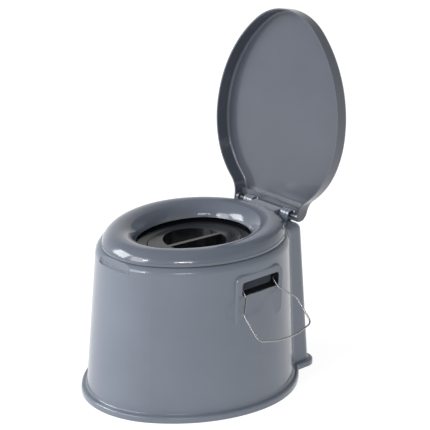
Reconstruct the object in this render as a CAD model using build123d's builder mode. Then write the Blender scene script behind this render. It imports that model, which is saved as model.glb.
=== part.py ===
from build123d import *

# Portable bucket toilet: a moulded casing with a hinged seat and lid over a removable bucket.
# Millimetres. X is the width, -Y is the front, +Y is the hinge side, +Z is up.
# The origin is on the floor, at the middle of the casing's foot.
import os
from math import atan2, cos, degrees, radians, sin, sqrt, tan

os.makedirs("parts", exist_ok=True)

# ---- casing -------------------------------------------------------------------------------
wall = 3.0                      # moulded wall of the casing and the seat
draft = 3.44                    # degrees that the casing's wall leans inwards
deck_z = 272.0                  # top of the casing, where the seat lies
shoulder_radius = 13.0

# outline of the casing's wall at the floor: an egg with a squared block at the rear
foot_half_width = 171.4
foot_widest_y = 8.3
foot_front_y = -207.5
foot_rear_y = 193.9
foot_front_side_radius = 240.7
foot_rear_side_radius = 190.0
block_half_width = 96.9
block_rear_y = 207.6
block_corner_radius = 16.0
flange_reach = 9.1
flange_height = 11.0
flange_edge_radius = 4.0

# finger notch at the front, under the edge of the seat
notch_half_width = 41.0
notch_floor_z = 257.0
notch_back_y = -181.5
notch_corner_radius = 9.0
notch_reach = 60.0              # the notch is cut from well outside the wall

# hand holes, one in each side, each in a flat pad
hand_hole_y = 9.5
hand_hole_z = 225.5
hand_hole_length = 87.0
hand_hole_height = 25.0
hand_hole_radius = 6.0
hand_lip_setback = 3.0
hand_lip_depth = 17.0
hand_cut_depth = 40.0
pad_face_x = 157.5
pad_depth = 20.0
pad_length = 112.0
pad_top_z = 251.0
pad_bottom_z = 156.0
pad_corner_radius = 16.0
pad_edge_radius = 4.0

# hinge: two lugs on the deck, a pin pressed into each, the seat's barrel between them
hinge_y = 182.0
hinge_z = 282.6
pin_radius = 3.5
pin_inner_x = 20.0
pin_outer_x = 77.0
pin_fit = 0.06                  # radial clearance of a turning joint
pin_end_gap = 0.3
pin_chamfer = 0.6
lug_inner_x = 37.0
lug_outer_x = 57.0
lug_radius = 9.0
lug_front_y = 169.0
lug_rear_y = 181.0
lug_root = 2.0                  # the lugs run this far down into the deck
lug_rim = 2.2
lug_pocket_depth = 4.0
lug_groove_x = 50.0
lug_groove_width = 1.0
lug_groove_depth = 0.8

# ---- seat ---------------------------------------------------------------------------------
seat_half_width = 146.3
seat_widest_y = 6.8
seat_front_y = -181.5
seat_rear_y = 172.8
seat_front_side_radius = 210.0
seat_rear_side_radius = 175.3
seat_gap = 1.2                  # the seat stands on four small moulded feet
seat_lip = 4.5                  # upright edge below the dome
seat_lip_step = 0.6
crest_z = 295.2
crest_inset = 25.1              # from the seat's lower outline in to the top of the dome
crest_band = 2.5                # level band along the top
dome_radius = 25.5
hole_half_width = 85.0
hole_front_y = -112.0
hole_rear_y = 107.0
hole_side_radius = 150.0
hole_edge_z = 270.0             # the funnel ends in a skirt inside the bucket's mouth
foot_radius = 5.0
foot_length = 14.0
rear_foot = (131.0, 50.0)
front_foot = (116.0, -75.0)
barrel_half_length = 35.5
barrel_radius = 6.4
barrel_edge_radius = 1.5
tab_front_y = 158.0
tab_pocket_rear_y = 173.0

# ---- lid, open at rest; its outline lies in its own plane, as a distance up from the hinge --
lid_lean = 6.26                 # degrees past upright
lid_half_width = 150.8
lid_widest = 160.3
lid_tip = 363.0
lid_heel = -1.3
lid_tip_side_radius = 234.0
lid_heel_side_radius = 186.0
lid_wall = 2.6
lid_edge = 7.6                  # the rim's edge is this far in front of the hinge axis
lid_depth = 27.6
lid_taper = 2.0                 # the back is smaller than the rim by this much all round
lid_back_radius = 7.0
lid_tab_half_width = 82.0
lid_tab_end = -5.6
lid_tab_blend_radius = 38.0
lid_boss_radius = 7.0
lid_boss_inner_x = 73.0
lid_boss_outer_x = 80.0

# the back of the lid's heel is stepped forwards, to pass the casing's rear edge
heel_step_back = 8.3            # behind the hinge axis
heel_step_height = 15.2         # above the hinge axis
heel_step_half_width = 77.0
heel_step_wall = 1.6
heel_opening_half_width = 58.5
heel_floor_clear = 0.5          # the heel's floor is open below this depth under the hinge axis
heel_slot_radius = 10.3

# the lower rear corner of the heel is cut away outside this line, seen from the side:
# steps behind and above the hinge axis
heel_corner = ((5.0, -6.6), (13.0, 0.4), (18.0, 7.4), (22.0, 14.4))
heel_corner_reach = 40.0

# ---- bucket -------------------------------------------------------------------------------
rim_half_width = 104.0
rim_half_length = 129.5
rim_top_z = 274.5
mouth_half_width = 96.5
mouth_half_length = 122.0
bowl_half_width = 91.5
bowl_half_length = 117.0
bowl_z = 266.0
recess_half_width = 70.0
recess_half_length = 94.0
recess_z = 261.5
ledge_z = 261.0
neck_half_width = 66.0
neck_half_length = 90.0
bucket_floor_z = 26.0
bucket_floor_half_width = 60.0
bucket_floor_half_length = 84.0
bucket_floor_radius = 14.0
bucket_wall = 2.4
bucket_fit = 2.0                # gap between the bucket and the casing's opening
oval_roundness = 1.28           # an oval's side radius over its half length

# bucket lid: a plug with a round dish and a grip bar across it
plug_half_width = 68.0
plug_half_length = 92.0
plug_thickness = 3.0
plug_edge_radius = 1.2
dish_radius = 56.0
dish_depth = 16.0
grip_width = 8.0
grip_turn = 5.4                 # degrees from the Y axis

# ---- wires --------------------------------------------------------------------------------
wire_radius = 1.5

# roll holder: a bent wire in the right-hand hand hole
holder_swing = 43.0             # degrees below level, where it rests over the hole's lower edge
holder_inset = 10.8             # the pivot lies this far behind the pad's face
holder_z = 225.9
holder_tip = 49.0
holder_leg = 38.0
holder_neck = 21.0
holder_knee = 49.5
holder_spread = 63.0
holder_reach = 101.0
holder_bow = 10.0
holder_bends = (3.0, 9.0, 14.0, 12.0, 90.0)

# bucket bail: a bent wire folded down on the rear half of the bucket's rim
bail_z = 276.6
bail_end_x = 105.5
bail_half_path = ((97.0, 0.0), (96.0, 46.0), (80.0, 94.0), (36.0, 121.0))
bail_bends = (3.0, 60.0, 50.0, 50.0)
bail_ear_x = 102.2
bail_ear_width = 3.2
bail_ear_length = 8.0
bail_ear_height = 7.0
bail_ear_z = 277.0


def egg(half_width, widest_y, tip_y, heel_y, tip_side_radius, heel_side_radius, grow=0.0):
    """An oval of six tangent arcs, widest at widest_y, grown outwards by grow."""
    a = half_width + grow
    with BuildSketch() as face:
        with BuildLine():
            for end_y, side_radius in ((tip_y, tip_side_radius), (heel_y, heel_side_radius)):
                side = 1 if end_y > widest_y else -1
                reach = abs(end_y - widest_y) + grow
                big = side_radius + grow
                small = (2 * big * a - a**2 - reach**2) / (2 * (big - reach))
                spread = degrees(atan2(reach - small, big - a))
                end_centre_y = widest_y + side * (reach - small)
                CenterArc((a - big, widest_y), big, 0, side * spread)
                CenterArc((0, end_centre_y), small, side * spread, side * (180 - 2 * spread))
                CenterArc((big - a, widest_y), big, 180, -side * spread)
        make_face()
    return face.sketch


def casing_plan(height, grow=0.0):
    """The outline of the casing's wall at a height, grown outwards by grow."""
    reach = grow - height * tan(radians(draft))
    with BuildSketch(Plane.XY.offset(height)) as face:
        add(egg(foot_half_width, foot_widest_y, foot_front_y, foot_rear_y,
                foot_front_side_radius, foot_rear_side_radius, reach))
        with Locations((0, (block_rear_y + reach) / 2)):
            Rectangle(2 * (block_half_width + reach), block_rear_y + reach)
        fillet(face.vertices().sort_by(Axis.Y)[-2:], block_corner_radius + grow)
        fillet(face.vertices().sort_by(Axis.Y)[-6:-4], block_corner_radius - grow)
    return face.sketch


def seat_plan(height, grow=0.0):
    """The seat's lower outline, grown outwards by grow, at a height."""
    with BuildSketch(Plane.XY.offset(height)) as face:
        add(egg(seat_half_width, seat_widest_y, seat_front_y, seat_rear_y,
                seat_front_side_radius, seat_rear_side_radius, grow))
    return face.sketch


def oval(half_width, half_length, height, grow=0.0):
    """A four-arc oval for the bucket and what fits it, at a height."""
    side_radius = oval_roundness * (half_length + grow)
    with BuildSketch(Plane.XY.offset(height)) as face:
        add(egg(half_width + grow, 0, -half_length - grow, half_length + grow, side_radius, side_radius))
    return face.sketch


def stack(*sections, ruled=True):
    """A solid lofted through level outlines."""
    with BuildPart() as solid:
        for section in sections:
            add(section)
        loft(ruled=ruled)
    return solid.part


def seat_dome(inset=0.0, sink=0.0):
    """The seat's outer form, drawn in by inset and lowered by sink."""
    bottom = deck_z + seat_gap - sink
    lip_top = bottom + seat_lip
    rise = crest_z - sink - lip_top - seat_lip_step
    outlines = []
    for fraction in (0.0, 0.25, 0.5, 0.75, 0.92, 1.0):
        drop = rise * (1 - fraction)
        run = sqrt(dome_radius**2 - (dome_radius - drop)**2)
        outlines.append(seat_plan(crest_z - sink - drop, run - crest_inset - inset))
    with BuildPart() as solid:
        add(stack(seat_plan(bottom, -inset), seat_plan(lip_top, -inset)))
        add(stack(seat_plan(lip_top, -inset), outlines[0]))
        add(stack(*outlines, ruled=False))
    return solid.part


def seat_funnel(grow=0.0, sink=0.0):
    """The opening that falls from the crest to the edge of the hole."""
    edge = crest_inset + crest_band
    fall = crest_z - hole_edge_z
    run = seat_half_width - edge - hole_half_width
    curve = (run**2 + fall**2) / (2 * fall)
    outlines = []
    for share in (1.0, 0.88, 0.65, 0.35, 0.0):
        drop = curve - sqrt(curve**2 - (run * (1 - share))**2)
        with BuildSketch(Plane.XY.offset(crest_z - sink - drop)) as outline:
            add(egg(hole_half_width + run * share,
                    seat_widest_y * share,
                    hole_front_y + (seat_front_y + edge - hole_front_y) * share,
                    hole_rear_y + (seat_rear_y - edge - hole_rear_y) * share,
                    hole_side_radius + (seat_front_side_radius - edge - hole_side_radius) * share,
                    hole_side_radius + (seat_rear_side_radius - edge - hole_side_radius) * share,
                    grow))
        outlines.append(outline.sketch)
    return stack(*outlines, ruled=False)


def hand_hole_plane(side):
    """The flat face of the pad round a hand hole; side is 1 on the right, -1 on the left."""
    return Plane(origin=(side * pad_face_x, hand_hole_y, hand_hole_z), x_dir=(0, side, 0), z_dir=(side, 0, 0))


def disc_across(radius):
    """A disc round the hinge axis, for a sketch in a YZ plane."""
    with BuildSketch() as face:
        with Locations((hinge_y, hinge_z)):
            Circle(radius)
    return face.sketch


def lug_outline(shrink=0.0):
    """A hinge lug seen from the side: a round top that narrows to a foot on the deck."""
    base_z = deck_z - lug_root + shrink
    with BuildSketch() as face:
        add(disc_across(lug_radius - shrink))
        with BuildLine():
            Polyline((lug_front_y + shrink, base_z), (lug_rear_y - shrink, base_z),
                     (hinge_y, hinge_z), close=True)
        make_face()
        make_hull()
    return face.sketch


# ---- casing -------------------------------------------------------------------------------
with BuildPart() as casing_hollow:
    add(stack(casing_plan(0, -wall), casing_plan(deck_z - wall, -wall)))
    fillet(casing_hollow.faces().sort_by(Axis.Z)[-1].edges(), shoulder_radius - wall)

with BuildPart() as casing_outside:
    add(stack(casing_plan(0), casing_plan(deck_z)))
    fillet(casing_outside.faces().sort_by(Axis.Z)[-1].edges(), shoulder_radius)

with BuildPart() as notch_pocket:
    with BuildSketch(Plane.XY.offset(notch_floor_z)):
        with Locations((0, notch_back_y - notch_reach / 2)):
            RectangleRounded(2 * notch_half_width, notch_reach, notch_corner_radius)
    extrude(amount=deck_z + shoulder_radius - notch_floor_z)

with BuildPart() as notch_backing:
    with BuildSketch(Plane.XY.offset(notch_floor_z - wall)):
        with Locations((0, notch_back_y + wall - notch_reach / 2)):
            RectangleRounded(2 * (notch_half_width + wall), notch_reach, notch_corner_radius + wall)
    extrude(amount=deck_z - notch_floor_z + wall)
    add(casing_outside.part, mode=Mode.INTERSECT)

pads = []
for side in (1, -1):
    with BuildPart() as pad:
        with BuildSketch(hand_hole_plane(side)):
            with Locations((0, (pad_top_z + pad_bottom_z) / 2 - hand_hole_z)):
                RectangleRounded(pad_length, pad_top_z - pad_bottom_z, pad_corner_radius)
        extrude(amount=-pad_depth)
        fillet(pad.faces().sort_by(Axis((0, 0, 0), (side, 0, 0)))[-1].edges(), pad_edge_radius)
    pads.append(pad.part)

with BuildPart() as hinge_lugs:
    for side in (1, -1):
        with BuildSketch(Plane.YZ.offset(side * lug_inner_x)):
            add(lug_outline())
        extrude(amount=side * (lug_outer_x - lug_inner_x))
        with BuildSketch(Plane.YZ.offset(side * lug_outer_x)):
            add(lug_outline(lug_rim))
        extrude(amount=-side * lug_pocket_depth, mode=Mode.SUBTRACT)
        with BuildSketch(Plane.YZ.offset(side * lug_groove_x)):
            add(disc_across(lug_radius + lug_groove_depth))
            add(disc_across(lug_radius - lug_groove_depth), mode=Mode.SUBTRACT)
        extrude(amount=side * lug_groove_width, mode=Mode.SUBTRACT)
        with BuildSketch(Plane.YZ.offset(side * lug_inner_x)):
            add(disc_across(pin_radius))
        extrude(amount=side * (lug_outer_x - lug_inner_x), mode=Mode.SUBTRACT)

pivot_point = (pad_face_x - holder_inset, hand_hole_y, holder_z)
pivot_plane = Plane(origin=pivot_point, x_dir=(0, 0, 1), z_dir=(0, 1, 0))

with BuildPart() as body_shell:
    add(casing_outside.part)
    with BuildSketch():
        add(casing_plan(0, flange_reach))
    extrude(amount=flange_height)
    flange_top = body_shell.faces().filter_by(Plane.XY).group_by(Axis.Z)[-2]
    fillet(flange_top.edges(), flange_edge_radius)
    for pad_solid in pads:
        add(pad_solid)
    add(casing_hollow.part, mode=Mode.SUBTRACT)
    for side in (1, -1):
        with BuildSketch(hand_hole_plane(side).offset(-hand_lip_setback)):
            RectangleRounded(hand_hole_length + 2 * wall, hand_hole_height + 2 * wall,
                             hand_hole_radius + wall)
        extrude(amount=-hand_lip_depth)
    add(notch_backing.part)
    for side in (1, -1):
        with BuildSketch(hand_hole_plane(side)):
            RectangleRounded(hand_hole_length, hand_hole_height, hand_hole_radius)
        extrude(amount=hand_cut_depth, both=True, mode=Mode.SUBTRACT)
    with BuildSketch(pivot_plane):
        Circle(wire_radius + pin_fit)
    extrude(amount=holder_tip + pin_end_gap, both=True, mode=Mode.SUBTRACT)
    add(notch_pocket.part, mode=Mode.SUBTRACT)
    with BuildSketch(Plane.XY.offset(deck_z - shoulder_radius)):
        add(oval(mouth_half_width, mouth_half_length, 0, bucket_wall + bucket_fit))
    extrude(amount=2 * shoulder_radius, mode=Mode.SUBTRACT)
    add(hinge_lugs.part)
body_shell.part.label = "body_shell"
export_step(body_shell.part, "parts/body_shell.step")

for side, side_name in ((1, "right"), (-1, "left")):
    with BuildPart() as hinge_pin:
        with BuildSketch(Plane.YZ.offset(side * pin_inner_x)):
            add(disc_across(pin_radius))
        extrude(amount=side * (pin_outer_x - pin_inner_x))
        chamfer(hinge_pin.edges().filter_by(GeomType.CIRCLE), pin_chamfer)
    hinge_pin.part.label = "hinge_pin_" + side_name
    export_step(hinge_pin.part, "parts/hinge_pin_" + side_name + ".step")

# ---- seat ---------------------------------------------------------------------------------
with BuildPart() as seat_hollow:
    add(seat_dome(wall, wall + 1))
    add(seat_funnel(wall, wall), mode=Mode.SUBTRACT)

with BuildPart() as seat_skirt:
    add(seat_funnel(wall, wall))
    with Locations((0, 0, hole_edge_z)):
        Box(2 * seat_half_width, 3 * seat_half_width, 2 * (deck_z + seat_gap + seat_lip - hole_edge_z),
            mode=Mode.INTERSECT)
    with Locations((0, 0, hole_edge_z)):
        Box(2 * seat_half_width, 3 * seat_half_width, 2 * wall,
            align=(Align.CENTER, Align.CENTER, Align.MAX), mode=Mode.SUBTRACT)

with BuildPart() as seat_tab:
    with BuildSketch(Plane.YZ.offset(-barrel_half_length)):
        add(disc_across(barrel_radius))
        with BuildLine():
            Polyline((tab_front_y, hinge_z - barrel_radius), (tab_front_y, hinge_z + barrel_radius),
                     (hinge_y, hinge_z), close=True)
        make_face()
        make_hull()
    extrude(amount=2 * barrel_half_length)
    fillet(seat_tab.faces().filter_by(Axis.X).edges(), barrel_edge_radius)
    with BuildSketch(Plane.XY.offset(hinge_z - 2 * barrel_radius)):
        with Locations((0, (tab_front_y + tab_pocket_rear_y) / 2 - wall)):
            Rectangle(2 * (barrel_half_length - wall), tab_pocket_rear_y - tab_front_y + 2 * wall)
    extrude(amount=3 * barrel_radius - wall, mode=Mode.SUBTRACT)
    for side in (1, -1):
        with BuildSketch(Plane.YZ.offset(side * (pin_inner_x - pin_end_gap))):
            add(disc_across(pin_radius + pin_fit))
        extrude(amount=side * barrel_half_length, mode=Mode.SUBTRACT)

with BuildPart() as seat:
    add(seat_dome())
    add(seat_skirt.part)
    add(seat_funnel(), mode=Mode.SUBTRACT)
    add(seat_hollow.part, mode=Mode.SUBTRACT)
    with BuildSketch(Plane.XY.offset(deck_z)):
        for foot_x, foot_y in (rear_foot, front_foot):
            with Locations((foot_x, foot_y), (-foot_x, foot_y)):
                Circle(foot_radius)
    extrude(amount=foot_length)
    add(seat_tab.part)
seat.part.label = "seat"
export_step(seat.part, "parts/seat.step")

# ---- lid ----------------------------------------------------------------------------------
lean = radians(lid_lean)
lid_plane = Plane(origin=(0, hinge_y, hinge_z), x_dir=(1, 0, 0), z_dir=(0, -cos(lean), sin(lean)))
lid_towards_front = Axis(lid_plane.origin, lid_plane.z_dir)


def lid_plan(depth, grow=0.0):
    """The lid's outline with its hinge tab, at a depth behind the hinge axis, grown by grow."""
    reach = grow - lid_taper * (depth + lid_edge) / lid_depth
    with BuildSketch(lid_plane.offset(-depth)) as face:
        add(egg(lid_half_width, lid_widest, lid_tip, lid_heel,
                lid_tip_side_radius, lid_heel_side_radius, reach))
        with Locations((0, (lid_widest + lid_tab_end - reach) / 2)):
            Rectangle(2 * (lid_tab_half_width + reach), lid_widest - lid_tab_end + reach)
        fillet(face.vertices().sort_by(Axis.Y)[2:4], lid_tab_blend_radius - reach)
    return face.sketch


def lid_block(half_width, low, high, front, back):
    """A block in the lid's plane: from low to high above the hinge axis, and front to back behind it."""
    with BuildPart() as solid:
        with BuildSketch(lid_plane.offset(-front)):
            with Locations((0, (low + high) / 2)):
                Rectangle(2 * half_width, high - low)
        extrude(amount=front - back)
    return solid.part


lid_floor = lid_depth - lid_edge - lid_wall

with BuildPart() as lid_hollow:
    add(stack(lid_plan(-lid_edge - 1, -lid_wall), lid_plan(lid_floor, -lid_wall)))
    fillet(lid_hollow.faces().sort_by(lid_towards_front)[0].edges(), lid_back_radius - lid_wall)
    add(lid_block(lid_half_width, -heel_step_height, heel_step_height + heel_step_wall,
                  heel_step_back - heel_step_wall, lid_depth), mode=Mode.SUBTRACT)

with BuildPart() as lid:
    add(stack(lid_plan(-lid_edge), lid_plan(lid_depth - lid_edge)))
    fillet(lid.faces().sort_by(lid_towards_front)[0].edges(), lid_back_radius)
    add(lid_hollow.part, mode=Mode.SUBTRACT)
    add(lid_block(heel_step_half_width, -heel_step_height, heel_step_height, heel_step_back, lid_depth),
        mode=Mode.SUBTRACT)
    add(lid_block(heel_opening_half_width, -heel_step_height, -heel_floor_clear,
                  -lid_depth, heel_step_back - heel_step_wall), mode=Mode.SUBTRACT)
    for side in (1, -1):
        with BuildSketch(Plane.YZ.offset(side * barrel_half_length)):
            add(disc_across(heel_slot_radius))
        extrude(amount=side * (heel_opening_half_width - barrel_half_length), mode=Mode.SUBTRACT)
        with BuildSketch(Plane.YZ.offset(side * lid_boss_inner_x)):
            add(disc_across(lid_boss_radius))
        extrude(amount=side * (lid_boss_outer_x - lid_boss_inner_x))
        with BuildSketch(Plane.YZ.offset(side * (pin_outer_x + pin_end_gap))):
            add(disc_across(pin_radius + pin_fit))
        extrude(amount=side * (heel_opening_half_width - pin_outer_x - pin_end_gap), mode=Mode.SUBTRACT)
    with BuildSketch(Plane.YZ):
        with BuildLine():
            heel_line = Polyline([(hinge_y + back, hinge_z + up) for back, up in heel_corner])
            Polyline(heel_line @ 1,
                     (hinge_y + heel_corner_reach, hinge_z + heel_corner[-1][1]),
                     (hinge_y + heel_corner_reach, hinge_z - heel_corner_reach),
                     (hinge_y + heel_corner[0][0], hinge_z - heel_corner_reach),
                     heel_line @ 0)
        make_face()
    extrude(amount=lid_half_width, both=True, mode=Mode.SUBTRACT)
lid.part.label = "lid"
export_step(lid.part, "parts/lid.step")

# ---- bucket -------------------------------------------------------------------------------
with BuildPart() as bucket_hollow:
    add(stack(oval(bucket_floor_half_width, bucket_floor_half_length, bucket_floor_z),
              oval(neck_half_width, neck_half_length, ledge_z)))
    fillet(bucket_hollow.faces().sort_by(Axis.Z)[0].edges(), bucket_floor_radius)
    add(stack(oval(recess_half_width, recess_half_length, ledge_z),
              oval(recess_half_width, recess_half_length, recess_z)))
    add(stack(oval(recess_half_width, recess_half_length, recess_z),
              oval(bowl_half_width, bowl_half_length, bowl_z)))
    add(stack(oval(bowl_half_width, bowl_half_length, bowl_z),
              oval(mouth_half_width, mouth_half_length, rim_top_z)))

with BuildPart() as bucket:
    add(stack(oval(bucket_floor_half_width, bucket_floor_half_length, bucket_floor_z - bucket_wall, bucket_wall),
              oval(neck_half_width, neck_half_length, ledge_z - bucket_wall, bucket_wall)))
    fillet(bucket.faces().sort_by(Axis.Z)[0].edges(), bucket_floor_radius + bucket_wall)
    add(stack(oval(recess_half_width, recess_half_length, ledge_z - bucket_wall, bucket_wall),
              oval(bowl_half_width, bowl_half_length, bowl_z - bucket_wall, bucket_wall)))
    add(stack(oval(bowl_half_width, bowl_half_length, bowl_z - bucket_wall, bucket_wall),
              oval(mouth_half_width, mouth_half_length, rim_top_z, bucket_wall)))
    add(stack(oval(rim_half_width, rim_half_length, deck_z), oval(rim_half_width, rim_half_length, rim_top_z)))
    with Locations((bail_ear_x, 0, bail_ear_z), (-bail_ear_x, 0, bail_ear_z)):
        Box(bail_ear_width, bail_ear_length, bail_ear_height)
    add(bucket_hollow.part, mode=Mode.SUBTRACT)
    with BuildSketch(Plane.YZ):
        with Locations((0, bail_z)):
            Circle(wire_radius + pin_fit)
    extrude(amount=bail_end_x, both=True, mode=Mode.SUBTRACT)
bucket.part.label = "bucket"
export_step(bucket.part, "parts/bucket.step")

bail_points = [(-bail_end_x, 0.0)]
bail_points += [(-x, y) for x, y in bail_half_path]
bail_points += [(x, y) for x, y in reversed(bail_half_path)]
bail_points += [(bail_end_x, 0.0)]
with BuildPart() as bucket_bail:
    with BuildLine(Plane.XY.offset(bail_z)) as bail_path:
        FilletPolyline(bail_points, radius=list(bail_bends) + list(reversed(bail_bends)))
    with BuildSketch(Plane(origin=bail_path.line @ 0, z_dir=bail_path.line % 0)):
        Circle(wire_radius)
    sweep()
bucket_bail.part.label = "bucket_bail"
export_step(bucket_bail.part, "parts/bucket_bail.step")

# ---- bucket lid ---------------------------------------------------------------------------
plug_top_z = ledge_z + plug_thickness
dish_floor_z = plug_top_z - dish_depth
with BuildPart() as bucket_lid:
    add(stack(oval(plug_half_width, plug_half_length, ledge_z),
              oval(plug_half_width, plug_half_length, plug_top_z)))
    fillet(bucket_lid.faces().sort_by(Axis.Z)[-1].edges(), plug_edge_radius)
    with BuildSketch(Plane.XY.offset(dish_floor_z - plug_thickness)):
        Circle(dish_radius + plug_thickness)
    extrude(amount=dish_depth)
    with BuildSketch(Plane.XY.offset(dish_floor_z)):
        Circle(dish_radius)
    extrude(amount=dish_depth, mode=Mode.SUBTRACT)
    with BuildSketch(Plane.XY.offset(dish_floor_z).rotated((0, 0, -grip_turn))):
        Rectangle(grip_width, 2 * dish_radius + 1)
    extrude(amount=dish_depth)
bucket_lid.part.label = "bucket_lid"
export_step(bucket_lid.part, "parts/bucket_lid.step")

# ---- roll holder --------------------------------------------------------------------------
swing = radians(holder_swing)
holder_plane = Plane(origin=pivot_point, x_dir=(0, 1, 0), z_dir=(sin(swing), 0, cos(swing)))
holder_half_path = ((holder_tip, 0.0), (holder_leg, 0.0), (holder_leg, holder_neck),
                    (holder_spread, holder_knee), (holder_spread, holder_reach),
                    (holder_spread / 3, holder_reach + holder_bow))
holder_points = [(-x, -y) for x, y in holder_half_path]
holder_points += [(x, -y) for x, y in reversed(holder_half_path)]
with BuildPart() as roll_holder:
    with BuildLine(holder_plane) as holder_path:
        FilletPolyline(holder_points, radius=list(holder_bends) + list(reversed(holder_bends)))
    with BuildSketch(Plane(origin=holder_path.line @ 0, z_dir=holder_path.line % 0)):
        Circle(wire_radius)
    sweep()
roll_holder.part.label = "roll_holder"
export_step(roll_holder.part, "parts/roll_holder.step")
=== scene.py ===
import math

import bpy
from mathutils import Euler, Matrix, Vector


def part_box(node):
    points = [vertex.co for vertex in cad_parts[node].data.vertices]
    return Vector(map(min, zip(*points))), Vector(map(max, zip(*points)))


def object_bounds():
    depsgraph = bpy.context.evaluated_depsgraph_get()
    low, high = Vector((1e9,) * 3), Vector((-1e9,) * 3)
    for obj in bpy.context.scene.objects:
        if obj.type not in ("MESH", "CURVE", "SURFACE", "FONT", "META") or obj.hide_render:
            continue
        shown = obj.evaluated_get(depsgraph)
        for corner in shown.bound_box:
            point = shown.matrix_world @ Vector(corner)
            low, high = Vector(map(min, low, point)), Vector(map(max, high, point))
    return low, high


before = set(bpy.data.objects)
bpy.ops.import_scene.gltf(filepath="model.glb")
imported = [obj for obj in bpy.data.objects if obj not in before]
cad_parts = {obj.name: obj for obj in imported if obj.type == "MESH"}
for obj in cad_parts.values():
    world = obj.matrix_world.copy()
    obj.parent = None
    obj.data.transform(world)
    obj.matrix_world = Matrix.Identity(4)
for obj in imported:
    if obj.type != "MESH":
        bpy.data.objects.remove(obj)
cad_low, cad_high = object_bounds()

# ---- colours, linear ----------------------------------------------------------------------
CASING = (0.122, 0.141, 0.176)
SEAT = (0.100, 0.115, 0.146)
LID = (0.060, 0.068, 0.088)
# painted light and shade: the bucket and its plug are one black plastic, given a darker tone
# for the bucket's walls and a lighter one for the upward-facing plug, for how much of the
# bright room each reflects
BUCKET_PAINTED_SHADE_BLACK = (0.004, 0.0045, 0.006)
PLUG_PAINTED_LIGHT_BLACK = (0.007, 0.0075, 0.009)
PIN = (0.040, 0.044, 0.052)
STEEL = (0.34, 0.34, 0.35)
# painted shade: a dark tone for the casing inside the hand holes, standing in for the shade
# of the enclosed hollow
HOLE_PAINTED_SHADE = (0.010, 0.011, 0.013)
GROUND = (0.30, 0.30, 0.30)
WHITE = (1, 1, 1)

# ---- noise textures: scale per metre, octaves, and the strength of the small octaves -------
CLOUD = {"Scale": 9.0, "Detail": 4.0, "Roughness": 0.55}
SMUDGE = {"Scale": 28.0, "Detail": 6.0, "Roughness": 0.7}
PLASTIC_GRAIN = {"Scale": 420.0, "Detail": 2.0, "Roughness": 0.5}
DULL_PATCH = {"Scale": 60.0, "Detail": 5.0, "Roughness": 0.6}
STEEL_GRAIN = {"Scale": 1500.0, "Detail": 2.0, "Roughness": 0.5}
# the stretch of a noise that a ramp uses, so that it runs from end to end
WIDE = (0.3, 0.7)
NARROW = (0.35, 0.65)

# ---- surfaces -----------------------------------------------------------------------------
GRAIN_DEPTH = 0.0001            # metres
PLASTIC_GRAIN_STRENGTH = 0.02
PLASTIC_IOR = 1.49
PLASTIC_ROUGHNESS_BELOW = 0.04  # smudges take the roughness this far below what is given
PLASTIC_ROUGHNESS_ABOVE = 0.06  # and this far above it
COAT_ROUGHNESS = 0.05
EDGE_RADIUS = 0.0016            # metres: how far the lighter tone reaches from an edge
EDGE_SAMPLES = 4
EDGE_COSINES = (0.80, 0.97)     # between the rounded and the true normal: full wear to none
WORN_GAIN = 1.5
WORN_LIFT = 0.02
STEEL_GRAIN_STRENGTH = 0.1
STEEL_TONE = 0.12
STEEL_ROUGHNESS = (0.20, 0.38)

# ---- the hand holes, metres ---------------------------------------------------------------
WIRE_RADIUS = 0.0015
HOLE_LIP_DEPTH = 0.0105
HOLE_REACH = 0.018
HOLE_HALF_LENGTH = 0.050

# ---- ground and sky -----------------------------------------------------------------------
GROUND_SIZE = 12                # metres
GROUND_GAP = 0.0005             # metres, under the object's lowest point
GROUND_ROUGHNESS = 0.9
GROUND_SPECULAR = 0.1
GROUND_GLOW = 0.85
SKY_HEIGHTS = (0.08, 0.75)      # the sine of the angle above the horizon
SKY_BRIGHTNESS = (1.0, 0.30)    # at those two heights

# ---- where the lamps point, metres --------------------------------------------------------
KEY_AIM = (0, 0, 0.2)
STRIP_AIM = (0, 0, 0.25)

# ---- camera: metres, degrees, and millimetres for the lens --------------------------------
CAMERA_PLACE = (2.2816, -2.125, 1.4478)
CAMERA_DOWN = 20.045
CAMERA_TURN = 46.393
CAMERA_ROLL = 1.178
CAMERA_SENSOR = 36.0
CAMERA_LENS = 159.08
CAMERA_FAR = 50                 # metres


# ---- shader helpers -----------------------------------------------------------------------
def opaque(colour):
    return (*colour, 1)


def scaled(colour, gain, lift=0):
    """A colour made lighter or darker, no brighter than white."""
    return tuple(min(1, part * gain + lift) for part in colour)


def ramp(tree, source, source_range, result_range):
    """A node's output mapped from one range to another."""
    made = tree.nodes.new("ShaderNodeMapRange")
    made.inputs["From Min"].default_value = source_range[0]
    made.inputs["From Max"].default_value = source_range[1]
    made.inputs["To Min"].default_value = result_range[0]
    made.inputs["To Max"].default_value = result_range[1]
    tree.links.new(source, made.inputs["Value"])
    return made.outputs["Result"]


def noise(tree, settings):
    """A noise texture in the object's own space."""
    made = tree.nodes.new("ShaderNodeTexNoise")
    for name, value in settings.items():
        made.inputs[name].default_value = value
    place = tree.nodes.new("ShaderNodeTexCoord")
    tree.links.new(place.outputs["Object"], made.inputs["Vector"])
    return made.outputs["Fac"]


def colour_mix(tree, factor):
    """A node that goes from colour A to colour B as the factor goes from 0 to 1."""
    made = tree.nodes.new("ShaderNodeMix")
    made.data_type = "RGBA"
    tree.links.new(factor, made.inputs["Factor"])
    return made


def cloudy(tree, base, patches, amount):
    """The base colour made darker and lighter by a noise."""
    mixed = colour_mix(tree, patches)
    mixed.inputs["A"].default_value = opaque(scaled(base, 1 - amount))
    mixed.inputs["B"].default_value = opaque(scaled(base, 1 + amount))
    return mixed.outputs["Result"]


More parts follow.
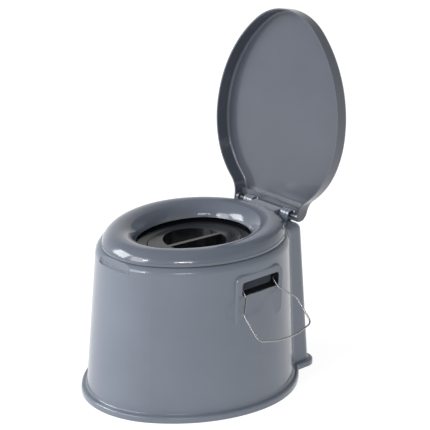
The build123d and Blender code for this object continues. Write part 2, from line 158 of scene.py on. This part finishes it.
def worn_edges(tree, base, toned, wear):
    """The toned colour, lighter where a rounded normal leaves the true one, as at an edge."""
    rounded = tree.nodes.new("ShaderNodeBevel")
    rounded.samples = EDGE_SAMPLES
    rounded.inputs["Radius"].default_value = EDGE_RADIUS
    surface = tree.nodes.new("ShaderNodeNewGeometry")
    facing = tree.nodes.new("ShaderNodeVectorMath")
    facing.operation = "DOT_PRODUCT"
    tree.links.new(rounded.outputs["Normal"], facing.inputs[0])
    tree.links.new(surface.outputs["Normal"], facing.inputs[1])
    mixed = colour_mix(tree, ramp(tree, facing.outputs["Value"], EDGE_COSINES, (wear, 0)))
    tree.links.new(toned, mixed.inputs["A"])
    mixed.inputs["B"].default_value = opaque(scaled(base, WORN_GAIN, WORN_LIFT))
    return mixed.outputs["Result"]


def add_grain(tree, shader, settings, strength):
    """A fine grain in the surface."""
    bump = tree.nodes.new("ShaderNodeBump")
    bump.inputs["Strength"].default_value = strength
    bump.inputs["Distance"].default_value = GRAIN_DEPTH
    tree.links.new(noise(tree, settings), bump.inputs["Height"])
    tree.links.new(bump.outputs["Normal"], shader.inputs["Normal"])


def new_material(name):
    """A material with its node tree and its shader."""
    material = bpy.data.materials.new(name)
    material.use_nodes = True
    return material, material.node_tree, material.node_tree.nodes["Principled BSDF"]


# ---- materials ----------------------------------------------------------------------------
def plastic(name, base, roughness, tone=0.05, wear=0.18, coat=0.15):
    """Moulded plastic: cloudy tone, smudges, fine grain, lighter edges and a thin gloss."""
    material, tree, shader = new_material(name)
    patches = ramp(tree, noise(tree, CLOUD), WIDE, (0, 1))
    toned = cloudy(tree, base, patches, tone)
    tree.links.new(worn_edges(tree, base, toned, wear), shader.inputs["Base Color"])
    limits = (roughness - PLASTIC_ROUGHNESS_BELOW, roughness + PLASTIC_ROUGHNESS_ABOVE)
    smudged = ramp(tree, noise(tree, SMUDGE), NARROW, limits)
    tree.links.new(smudged, shader.inputs["Roughness"])
    add_grain(tree, shader, PLASTIC_GRAIN, PLASTIC_GRAIN_STRENGTH)
    shader.inputs["IOR"].default_value = PLASTIC_IOR
    shader.inputs["Coat Weight"].default_value = coat
    shader.inputs["Coat Roughness"].default_value = COAT_ROUGHNESS
    return material


def steel(name, base):
    """Bright drawn wire: dull patches and a fine grain."""
    material, tree, shader = new_material(name)
    dull = noise(tree, DULL_PATCH)
    toned = cloudy(tree, base, ramp(tree, dull, NARROW, (0, 1)), STEEL_TONE)
    tree.links.new(toned, shader.inputs["Base Color"])
    tree.links.new(ramp(tree, dull, NARROW, STEEL_ROUGHNESS), shader.inputs["Roughness"])
    add_grain(tree, shader, STEEL_GRAIN, STEEL_GRAIN_STRENGTH)
    shader.inputs["Metallic"].default_value = 1.0
    return material


casing_plastic = plastic("casing_plastic", CASING, roughness=0.19)
# painted shade: a dark copy of the casing plastic for the faces inside the hand holes
casing_painted_shade = plastic("casing_painted_shade", HOLE_PAINTED_SHADE, roughness=0.5, coat=0.0)
seat_plastic = plastic("seat_plastic", SEAT, roughness=0.15, coat=0.3)
lid_plastic = plastic("lid_plastic", LID, roughness=0.20)
# the bucket's and the plug's blacks are shaded and lit copies of one plastic: painted shade
# and painted light
black_plastic = plastic("black_plastic", BUCKET_PAINTED_SHADE_BLACK, roughness=0.16, tone=0.2, wear=0.1)
plug_plastic = plastic("plug_plastic", PLUG_PAINTED_LIGHT_BLACK, roughness=0.16, tone=0.15, wear=0.1)
pin_plastic = plastic("pin_plastic", PIN, roughness=0.38, tone=0.1)
wire_steel = steel("wire_steel", STEEL)

# ---- each node's finish -------------------------------------------------------------------
FINISHES = {
    "body_shell": casing_plastic,
    "seat": seat_plastic,
    "lid": lid_plastic,
    "bucket": black_plastic,
    "bucket_lid": plug_plastic,
    "bucket_bail": wire_steel,
    "roll_holder": wire_steel,
    "hinge_pin_right": pin_plastic,
    "hinge_pin_left": pin_plastic,
}
for node_name, finish in FINISHES.items():
    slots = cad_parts[node_name].data.materials
    slots.clear()
    slots.append(finish)

# ---- painted shade inside the hand holes: the casing's faces there take a dark plastic ----
# The roll holder's ends lie in the right-hand hole, at the middle of its length and height.
holder_low, holder_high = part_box("roll_holder")
bucket_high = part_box("bucket")[1]
hole_inner_x = bucket_high.x
hole_outer_x = holder_low.x + HOLE_LIP_DEPTH
hole_middle_y = (holder_low.y + holder_high.y) / 2
hole_middle_z = holder_high.z - WIRE_RADIUS


def in_hand_hole(point):
    """Whether a point is behind the lip of the hand hole on either side."""
    across = hole_inner_x < abs(point.x) < hole_outer_x
    along = abs(point.y - hole_middle_y) < HOLE_HALF_LENGTH
    upward = abs(point.z - hole_middle_z) < HOLE_REACH
    return across and along and upward


casing_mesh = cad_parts["body_shell"].data
casing_mesh.materials.append(casing_painted_shade)
# faces behind the lip of either hand hole take the painted shade
for face in casing_mesh.polygons:
    if in_hand_hole(face.center):
        face.material_index = 1

# ---- ground -------------------------------------------------------------------------------
ground_paint, ground_tree, ground_shader = new_material("ground_paint")
ground_shader.inputs["Base Color"].default_value = opaque(GROUND)
ground_shader.inputs["Emission Color"].default_value = opaque(WHITE)
ground_shader.inputs["Emission Strength"].default_value = GROUND_GLOW
ground_shader.inputs["Roughness"].default_value = GROUND_ROUGHNESS
ground_shader.inputs["Specular IOR Level"].default_value = GROUND_SPECULAR
bpy.ops.mesh.primitive_plane_add(size=GROUND_SIZE, location=(0, 0, cad_low.z - GROUND_GAP))
ground = bpy.context.object
ground.name = "ground"
ground.data.materials.append(ground_paint)

# ---- sky: bright near the horizon, dimmer overhead ----------------------------------------
world = bpy.data.worlds.new("studio")
bpy.context.scene.world = world
world.use_nodes = True
sky_tree = world.node_tree
sky_place = sky_tree.nodes.new("ShaderNodeTexCoord")
sky_split = sky_tree.nodes.new("ShaderNodeSeparateXYZ")
sky_tree.links.new(sky_place.outputs["Generated"], sky_split.inputs[0])
sky_brightness = ramp(sky_tree, sky_split.outputs["Z"], SKY_HEIGHTS, SKY_BRIGHTNESS)
sky_tree.links.new(sky_brightness, sky_tree.nodes["Background"].inputs["Color"])


# ---- lamps --------------------------------------------------------------------------------
def softbox(name, place, aim, width, height, watts):
    """A rectangular lamp that faces a point."""
    data = bpy.data.lights.new(name, "AREA")
    data.shape = "RECTANGLE"
    data.size = width
    data.size_y = height
    data.energy = watts
    lamp = bpy.data.objects.new(name, data)
    bpy.context.scene.collection.objects.link(lamp)
    lamp.location = place
    lamp.rotation_euler = (Vector(aim) - Vector(place)).to_track_quat("-Z", "Y").to_euler()


softbox("key_left", (-1.9, -2.1, 1.9), KEY_AIM, width=1.8, height=1.8, watts=100)
softbox("key_right", (0.0, -2.8, 1.9), KEY_AIM, width=1.6, height=1.6, watts=40)
softbox("strip_front", (0.63, -2.52, 1.9), STRIP_AIM, width=0.45, height=0.12, watts=9)
softbox("strip_side", (2.2, -1.38, 1.9), STRIP_AIM, width=0.80, height=0.12, watts=12)

# ---- camera: in front, to the right, looking down -----------------------------------------
camera_data = bpy.data.cameras.new("camera")
camera_data.sensor_width = CAMERA_SENSOR
camera_data.lens = CAMERA_LENS
camera_data.clip_end = CAMERA_FAR
camera = bpy.data.objects.new("camera", camera_data)
bpy.context.scene.collection.objects.link(camera)
camera_tilt = math.radians(90 - CAMERA_DOWN)
camera_turned = Euler((camera_tilt, 0, math.radians(CAMERA_TURN)), "XYZ").to_matrix().to_4x4()
camera_rolled = Matrix.Rotation(math.radians(CAMERA_ROLL), 4, "Z")
camera.matrix_world = Matrix.Translation(CAMERA_PLACE) @ camera_turned @ camera_rolled
bpy.context.scene.camera = camera
bpy.context.scene.view_settings.view_transform = "Standard"
